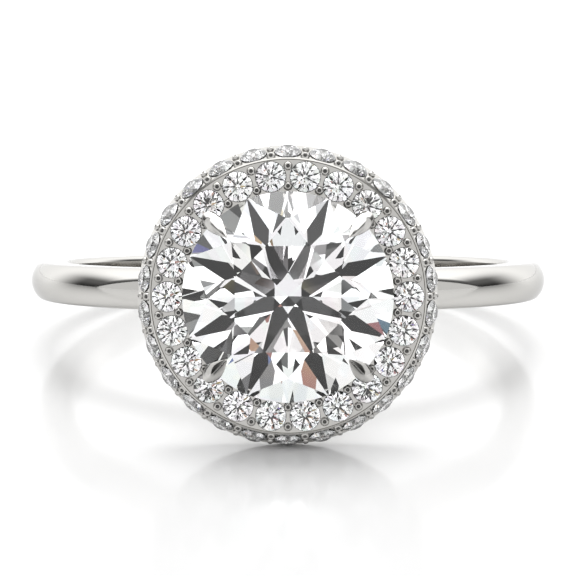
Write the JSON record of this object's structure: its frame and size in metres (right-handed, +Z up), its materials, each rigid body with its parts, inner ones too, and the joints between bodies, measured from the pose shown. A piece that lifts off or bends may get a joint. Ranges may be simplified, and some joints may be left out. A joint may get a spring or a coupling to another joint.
{
  "type": "halo ring",
  "caption": "Finger ring lying on its side: a claw-set round center stone, a halo of small bead-set stones on its top and side, and a plain domed band.",
  "frame": {"origin": "center of the bounding box's bottom face, on the surface that the ring lies on", "axes": "+Z up, +Y from the head toward the back of the band, so the stones face -Y and a little up; the finger hole runs near +Z"},
  "size_m": [0.0198, 0.0238, 0.0093],
  "materials": {
    "white_gold": "polished",
    "center_stone": "polished",
    "small_stones": "polished"
  },
  "bodies": {
    "root": {"ring_mount": "white_gold", "center_stone": "center_stone", "halo_stone_01": "small_stones", "halo_stone_02": "small_stones", "halo_stone_03": "small_stones", "halo_stone_04": "small_stones", "halo_stone_05": "small_stones", "halo_stone_06": "small_stones", "halo_stone_07": "small_stones", "halo_stone_08": "small_stones", "halo_stone_09": "small_stones", "halo_stone_10": "small_stones", "halo_stone_11": "small_stones", "halo_stone_12": "small_stones", "halo_stone_13": "small_stones", "halo_stone_14": "small_stones", "halo_stone_15": "small_stones", "halo_stone_16": "small_stones", "halo_stone_17": "small_stones", "halo_stone_18": "small_stones", "halo_stone_19": "small_stones", "halo_stone_20": "small_stones", "halo_stone_21": "small_stones", "halo_stone_22": "small_stones", "side_stones": "small_stones"}
  },
  "joints": []
}
